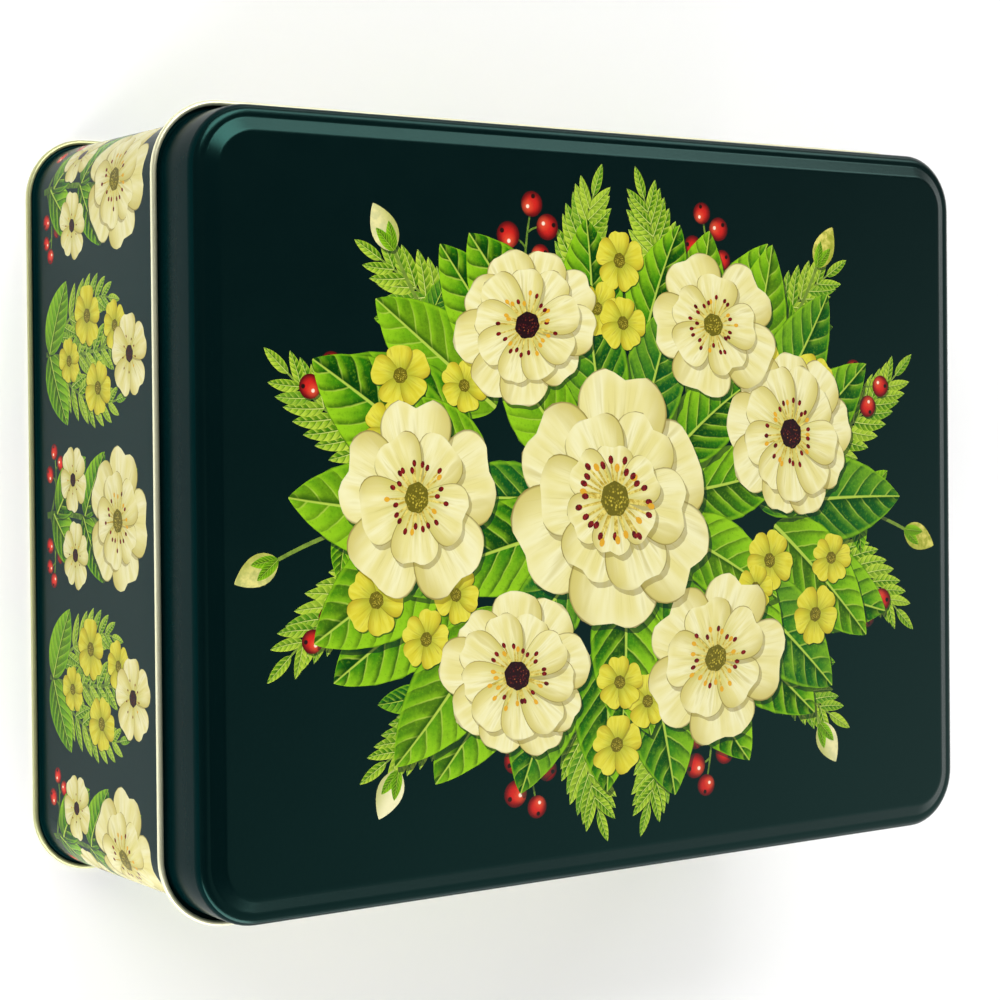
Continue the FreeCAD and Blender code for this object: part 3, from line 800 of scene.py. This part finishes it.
# ------------------------------------------------------------------------- lid
def make_lid():
    sh = Shell()
    path, total = ring_path(LID_L / 2, LID_W / 2, LID_R)
    us = [0.004 + 0.992 * p[4] / total for p in path] + [0.996]

    def ring(d, z):
        return [sh.vert(x - nx * d, y - ny * d, z) for x, y, nx, ny, _, _ in path]

    t = SHEET
    # outside, from the flat panel over the sloping band and shoulder down the skirt (d is the distance in from the skirt)
    outer = fillet([(7.8, TOP), (6.3, TOP), (3.23, 92.93), (0.0, 92.90), (0.0, 84.0)], [0, 2.2, 1.3, 2.45, 0], 8)
    cd, cz, bend = -CURL_OUT, 77.0, 0.35
    heel = cz - CURL + t + bend
    outer += [(0.0, 79.0), (0.0, heel)]
    # foot of the skirt: bent outwards, a narrow ledge, then rolled up and back towards the skirt
    inner_roll = arc_points(-bend, heel, bend, 180, 270, 6)[1:] + arc_points(cd, cz, CURL - t, 270, 500, 22)
    outer_roll = arc_points(cd, cz, CURL, 500, 270, 30) + arc_points(-bend, heel, bend + t, 270, 180, 7)
    below = fillet([(t, heel), (t, 92.62), (3.23, 92.65), (6.36, TOP - t), (7.8, TOP - t)], [0, 2.17, 1.58, 1.92, 0], 6)[1:]
    # below the shoulder the skirt takes the ground copy with painted light
    prof = [(p, GROUND if i < 24 else SKIRT_PAINTED_LIGHT) for i, p in enumerate(outer)] + [(p, SKIRT_PAINTED_LIGHT) for p in inner_roll] + [(p, EDGE) for p in outer_roll] + [(p, GOLD) for p in below]
    rings = [ring(*p) for p, _ in prof]
    n1, n2, n3 = len(outer) - 1, len(inner_roll) + len(outer_roll), len(below)
    vs = spans(prof, ((n1, 0.210, 0.120), (n2, 0.115, 0.085), (n3, 0.080, 0.045)))
    for i in range(len(prof) - 1):
        sh.band(rings[i + 1], rings[i], prof[i + 1][1], us, vs[i][1], vs[i][0])
    # printed panel
    d = outer[0][0]
    px, py = LID_L / 2 - d, LID_W / 2 - d
    k = 0.992 / (2 * px)
    border = [(x - nx * d, y - ny * d) for x, y, nx, ny, _, _ in path]
    pr = lid_print()
    pts, tri, who, dim = cut(border, [], pr)
    first = {(round(x, 3), round(y, 3)): i for i, (x, y) in enumerate(border)}
    ids = [rings[0][first[q]] if (q := (round(float(x), 3), round(float(y), 3))) in first else sh.vert(float(x), float(y), TOP) for x, y in pts]
    printed(sh, pts, tri, who, dim, pr.items, ids, lambda q: [(0.004 + k * (float(x) + px), 0.218 + k * (float(y) + py)) for x, y in q])
    # underside of the panel
    sh.face(list(reversed(rings[-1])), GOLD, lay=[(0.004 + 0.05 * (x + px) / (2 * px), 0.002 + 0.039 * (y + py) / (2 * py)) for x, y in reversed(border)])
    return sh.build("lid_shell"), len(tri)


# ------------------------------------------------------------------- body wall
def make_wall():
    sh = Shell()
    hx, hy, r = LID_L / 2 - WALL_IN, LID_W / 2 - WALL_IN, LID_R - WALL_IN
    raw, total = ring_path(hx, hy, r, 12, 6)
    # the strip starts and ends at the side seam on the +Y side
    seam_s = r * math.pi / 2 + (hx - r) - 60.0
    marks = []
    for x, y, nx, ny, s, bent in raw:
        marks.append(((s - seam_s) % total, x, y, nx, ny, bent))
    for s, bent in ((0.0, True), (0.25, True), (total - 0.25, True)):
        marks.append((s, 60.0 - (s if s < total / 2 else s - total), hy, 0.0, 1.0, bent))
    marks.sort()
    us = [0.004 + 0.926 * q[0] / total for q in marks] + [0.930]

    def dent(s):
        return 0.16 if s < 0.01 or s > total - 0.01 else 0.0

    def at(s):
        s2 = (s % total + seam_s) % total
        segs = ((hx - r, hy - r, 0, 2 * (hx - r)), (r - hx, hy - r, 90, 2 * (hy - r)), (r - hx, r - hy, 180, 2 * (hx - r)), (hx - r, r - hy, 270, 2 * (hy - r)))
        for cx, cy, a0, ln in segs:
            arc = r * math.pi / 2
            if s2 < arc:
                t = math.radians(a0) + s2 / r
                return cx + r * math.cos(t), cy + r * math.sin(t), math.cos(t), math.sin(t)
            s2 -= arc
            if s2 < ln:
                t = math.radians(a0 + 90)
                nx, ny = round(math.cos(t)), round(math.sin(t))
                return cx + r * nx - ny * s2, cy + r * ny + nx * s2, nx, ny
            s2 -= ln
        return at(0.0)

    def ring(e, z, dented=False):
        return [sh.vert(x - nx * (e + (dent(s) if dented else 0)), y - ny * (e + (dent(s) if dented else 0)), z) for s, x, y, nx, ny, _ in marks]

    t = SHEET
    z0, z1 = 2.9, 91.35
    m = 1.1
    # mouth: up, inwards, down and back towards the wall
    roll_out = arc_points(m, z1, m, 0, 300, 30)
    roll_in = arc_points(m, z1, m - t, 300, 0, 24)
    low = [(0.0, z0), (0.0, 1.4)] + arc_points(-0.45, 1.4, 0.45, 180, 270, 5)[1:] + [(-1.5, 0.95), (-1.5, 0.67)]
    back = arc_points(-0.45, 1.4, 0.45 + t, 270, 180, 5) + [(t, 40.0)]
    # the wall is printed with the copy of the inks that carries painted light: brighter ground, darker inks
    prof = [(p, WALL + GROUND) for p in roll_out[:9]] + [(p, EDGE) for p in roll_out[9:]] + [(p, EDGE) for p in roll_in] + [(p, GOLD) for p in reversed(back)] + [(p, WALL + GROUND) for p in reversed(low)]
    rings = [ring(p[0], p[1], i == 0 or i == len(prof) - 1) for i, (p, _) in enumerate(prof)]
    n1, n2, n3 = len(roll_out) - 1 + len(roll_in), len(back), len(low)
    vs = spans(prof, ((n1, 0.956, 0.964), (n2, 0.966, 0.986), (n3, 0.988, 0.994)))
    for i in range(len(prof) - 1):
        sh.band(rings[i], rings[i + 1], prof[i + 1][1], us, *vs[i])
    # printed strip, laid out flat: s along, z up
    s_of = [q[0] for q in marks]
    border = [(s, z0) for s in s_of] + [(total, z0)] + [(total, z1)] + [(s, z1) for s in reversed(s_of)]
    third = total / 3
    lines = [((s, z0), (s, z1)) for s, *_, bent in marks if bent and s > 0.01] + [((third * i, z0), (third * i, z1)) for i in (1, 2)]
    pr = Print()
    a, b = wall_sprig_a(), wall_sprig_b()
    count = 20
    for k in range(count):
        s = (k + 0.5) * total / count
        place = np.array([[1.0, 0, s], [0, 1.0, 7.5 if k % 2 == 0 else 8.0]])
        (a if k % 2 == 0 else b).copy_to(pr, place)
    pts, tri, who, dim = cut(border, lines, pr)
    low_ids = {round(s, 3): rings[-1][i] for i, s in enumerate(s_of)}
    top_ids = {round(s, 3): rings[0][i] for i, s in enumerate(s_of)}
    low_ids[round(total, 3)], top_ids[round(total, 3)] = rings[-1][0], rings[0][0]
    ids = []
    for s, z in pts:
        k = round(float(s), 3)
        if abs(z - z0) < 1e-3 and k in low_ids:
            ids.append(low_ids[k])
        elif abs(z - z1) < 1e-3 and k in top_ids:
            ids.append(top_ids[k])
        else:
            x, y, nx, ny = at(float(s))
            e = dent(float(s))
            ids.append(sh.vert(x - nx * e, y - ny * e, float(z)))
    k = 0.992 / third

    def flat(q):
        row = min(2, int(q[:, 0].mean() / third))
        return [(0.004 + k * (float(s) - third * row), 0.002 + 0.317 * row + k * (float(z) - z0)) for s, z in q]

    printed(sh, pts, tri, who, dim, pr.items, ids, flat, WALL, lambda c: EDGE if c[0] < 0.25 or c[0] > total - 0.25 else WALL + GROUND)
    # folded layers of the side seam inside the wall
    y1, y0 = hy - t + 0.05, hy - t - 0.56
    sec = [(57.5, y1), (57.5, y0 + 0.25), (57.6, y0 + 0.08), (57.8, y0), (62.2, y0), (62.4, y0 + 0.08), (62.5, y0 + 0.25), (62.5, y1)]
    lo = [sh.vert(x, y, 3.8) for x, y in sec]
    hi = [sh.vert(x, y, 89.7) for x, y in sec]
    sh.band(hi, lo, GOLD, [0.940 + 0.056 * i / 8 for i in range(9)], 0.994, 0.958)
    sh.face(lo, GOLD, lay=[(0.942 + 0.01 * (x - 57.5), 0.956) for x, y in sec])
    sh.face(list(reversed(hi)), GOLD, lay=[(0.942 + 0.01 * (x - 57.5), 0.956) for x, y in reversed(sec)])
    return sh.build("body_shell"), len(tri)


# ------------------------------------------------------------------ base plate
def make_base():
    sh = Shell()
    hx, hy, r = LID_L / 2 - WALL_IN, LID_W / 2 - WALL_IN, LID_R - WALL_IN
    path, _ = ring_path(hx, hy, r, 14, 6)

    def ring(e, z):
        return [sh.vert(x - nx * e, y - ny * e, z) for x, y, nx, ny, _, _ in path]

    t = SHEET
    pit = t + 0.06
    below = [(8.0, 3.0)] + [(pit + t + 0.3, 3.0)] + arc_points(pit + t + 0.3, 2.7, 0.3, 90, 0, 5)[1:] + [(pit + t, 0.4)]
    below += arc_points(pit + t - 0.4, 0.4, 0.4, 180, 270, 5)[1:]
    rim_c = RIM - RIM_OUT
    rim = arc_points(rim_c, RIM, RIM, -90, 130, 28)
    rim_in = arc_points(rim_c, RIM, RIM - t, 130, -90, 22)
    above = arc_points(pit + t - 0.4, 0.4, 0.4 - t, 270, 180, 4) + arc_points(pit + t + 0.3, 2.7, 0.3 + t, 0, 90, 6) + [(8.0, 3.0 + t)]
    # the rolled rim takes the gold painted darker, as painted shade
    prof = [(p, GOLD) for p in below] + [(p, RIM_EDGE_SHADED) for p in rim] + [(p, RIM_EDGE_SHADED) for p in rim_in] + [(p, GOLD) for p in above]
    rings = [ring(*p) for p, _ in prof]
    for i in range(len(prof) - 1):
        sh.band(rings[i], rings[i + 1], prof[i + 1][1])
    sh.face(list(reversed(rings[0])), GOLD)
    sh.face(rings[-1], GOLD)
    return sh.build("base_pan")


lid_ob, n1 = make_lid()
wall_ob, n2 = make_wall()
base_ob = make_base()
print("lid print triangles", n1, "wall print triangles", n2)
for ob, body, node, slot in ((lid_ob, "tin_lid", "lid", "printed_tinplate"), (wall_ob, "tin_body", "body_wall", "printed_tinplate"), (base_ob, "tin_body", "base_plate", "lacquered_tinplate")):
    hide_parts(node)
    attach(ob, body)

# ----------------------------------------------------------------------- stage
floor_me = bpy.data.meshes.new("floor")
floor_me.from_pydata([(-4, -4, 0), (4, -4, 0), (4, 4, 0), (-4, 4, 0)], [], [(0, 1, 2, 3)])
floor = bpy.data.objects.new("floor", floor_me)
bpy.context.scene.collection.objects.link(floor)
ft = Tree("floor_pale")
ft.bsdf.inputs["Base Color"].default_value = (0.95, 0.95, 0.95, 1)
ft.bsdf.inputs["Roughness"].default_value = 0.7
# far from the tin, where the lamps no longer reach, the floor keeps its pale tone
far = ft.nt.nodes.new("ShaderNodeVectorMath")
far.operation = "LENGTH"
ft.nt.links.new(ft.place(), far.inputs[0])
ft.bsdf.inputs["Emission Color"].default_value = (1.0, 1.0, 1.0, 1.0)
ft.put(ft.bsdf.inputs["Emission Strength"], ft.mul(ft.step(far.outputs["Value"], 1.0, 2.0), 0.85))
floor_me.materials.append(ft.mat)

world = bpy.data.worlds.new("studio")
bpy.context.scene.world = world
world.use_nodes = True
nt = world.node_tree
bg = nt.nodes["Background"]
tc = nt.nodes.new("ShaderNodeTexCoord")
sx = nt.nodes.new("ShaderNodeSeparateXYZ")
rampn = nt.nodes.new("ShaderNodeValToRGB")
nt.links.new(tc.outputs["Generated"], sx.inputs[0])
nt.links.new(sx.outputs[2], rampn.inputs[0])
# a soft brighter patch low on the +X, -Y side
dot = nt.nodes.new("ShaderNodeVectorMath")
dot.operation = "DOT_PRODUCT"
nt.links.new(tc.outputs["Generated"], dot.inputs[0])
dot.inputs[1].default_value = (0.80, -0.25, 0.545)
patch = nt.nodes.new("ShaderNodeMapRange")
patch.interpolation_type = "SMOOTHSTEP"
nt.links.new(dot.outputs["Value"], patch.inputs["Value"])
patch.inputs["From Min"].default_value, patch.inputs["From Max"].default_value = 0.87, 1.0
patch.inputs["To Min"].default_value, patch.inputs["To Max"].default_value = 0.0, 0.40
dot2 = nt.nodes.new("ShaderNodeVectorMath")
dot2.operation = "DOT_PRODUCT"
nt.links.new(tc.outputs["Generated"], dot2.inputs[0])
dot2.inputs[1].default_value = (0.62, -0.55, 0.56)
patch2 = nt.nodes.new("ShaderNodeMapRange")
patch2.interpolation_type = "SMOOTHSTEP"
nt.links.new(dot2.outputs["Value"], patch2.inputs["Value"])
patch2.inputs["From Min"].default_value, patch2.inputs["From Max"].default_value = 0.72, 0.97
patch2.inputs["To Min"].default_value, patch2.inputs["To Max"].default_value = 0.0, 0.45
both = nt.nodes.new("ShaderNodeVectorMath")
both.operation = "ADD"
nt.links.new(patch.outputs["Result"], both.inputs[0])
nt.links.new(patch2.outputs["Result"], both.inputs[1])
glow = nt.nodes.new("ShaderNodeVectorMath")
glow.operation = "ADD"
nt.links.new(rampn.outputs[0], glow.inputs[0])
nt.links.new(both.outputs[0], glow.inputs[1])
nt.links.new(glow.outputs[0], bg.inputs[0])
cr = rampn.color_ramp
for i, (pos, v) in enumerate(((0.0, 1.0), (0.08, 0.95), (0.25, 0.35), (0.50, 0.10), (1.0, 0.02))):
    el = cr.elements[i] if i < 2 else cr.elements.new(pos)
    el.position, el.color = pos, (v, v, v, 1)
bg.inputs[1].default_value = 1.0


def area(name, loc, aim, size, power, colour=(1, 1, 1)):
    li = bpy.data.lights.new(name, "AREA")
    li.shape = "RECTANGLE"
    li.size, li.size_y = size
    li.energy = power
    li.color = colour
    ob = bpy.data.objects.new(name, li)
    bpy.context.scene.collection.objects.link(ob)
    ob.location = loc
    ob.rotation_mode = "QUATERNION"
    ob.rotation_quaternion = (Vector(aim) - Vector(loc)).to_track_quat("-Z", "Y")
    return ob


area("key", (0.0, 0.836, 1.0), (0, 0, 0.05), (0.75, 0.6), 10)
area("band_upper", (0.85, 1.02, 0.93), (0, 0, 0.05), (0.9, 0.5), 5.5)
# fills light the inks but leave no patch of glare on the varnish
for ob in (
    area("fill_upper", (-0.80, 0.75, 0.60), (0, 0, 0.05), (0.6, 0.6), 6),
    area("fill_lower", (-0.80, -0.75, 0.60), (0, 0, 0.05), (0.6, 0.6), 7),
):
    ob.visible_glossy = False
area("fill_near", (-0.36, -1.05, 0.44), (0, 0, 0.05), (1.6, 0.5), 14)
bpy.context.scene.view_settings.view_transform = "Standard"

# ---------------------------------------------------------------------- camera
cam_data = bpy.data.cameras.new("camera")
cam = bpy.data.objects.new("camera", cam_data)
bpy.context.scene.collection.objects.link(cam)
right = Vector((0.8188918048936159, -0.008892099985567345, 0.5738790311868198))
down = Vector((-0.014679923834222824, -0.9998773662652698, 0.005454563836733))
ahead = Vector((0.5737601517309281, -0.01289119809304983, -0.8189219164837562))
rot = Matrix((right, -down, -ahead)).transposed().to_4x4()
cam.matrix_world = Matrix.Translation(Vector((-0.35776383, 0.02281083, 0.56114652))) @ rot
cam_data.sensor_width = 36.0
cam_data.lens = 36.0 * 2.2935
cam_data.shift_x = (500 - 522.7276) / 1000
cam_data.shift_y = (444.0593 - 500) / 1000
cam_data.clip_start, cam_data.clip_end = 0.01, 50
bpy.context.scene.camera = cam
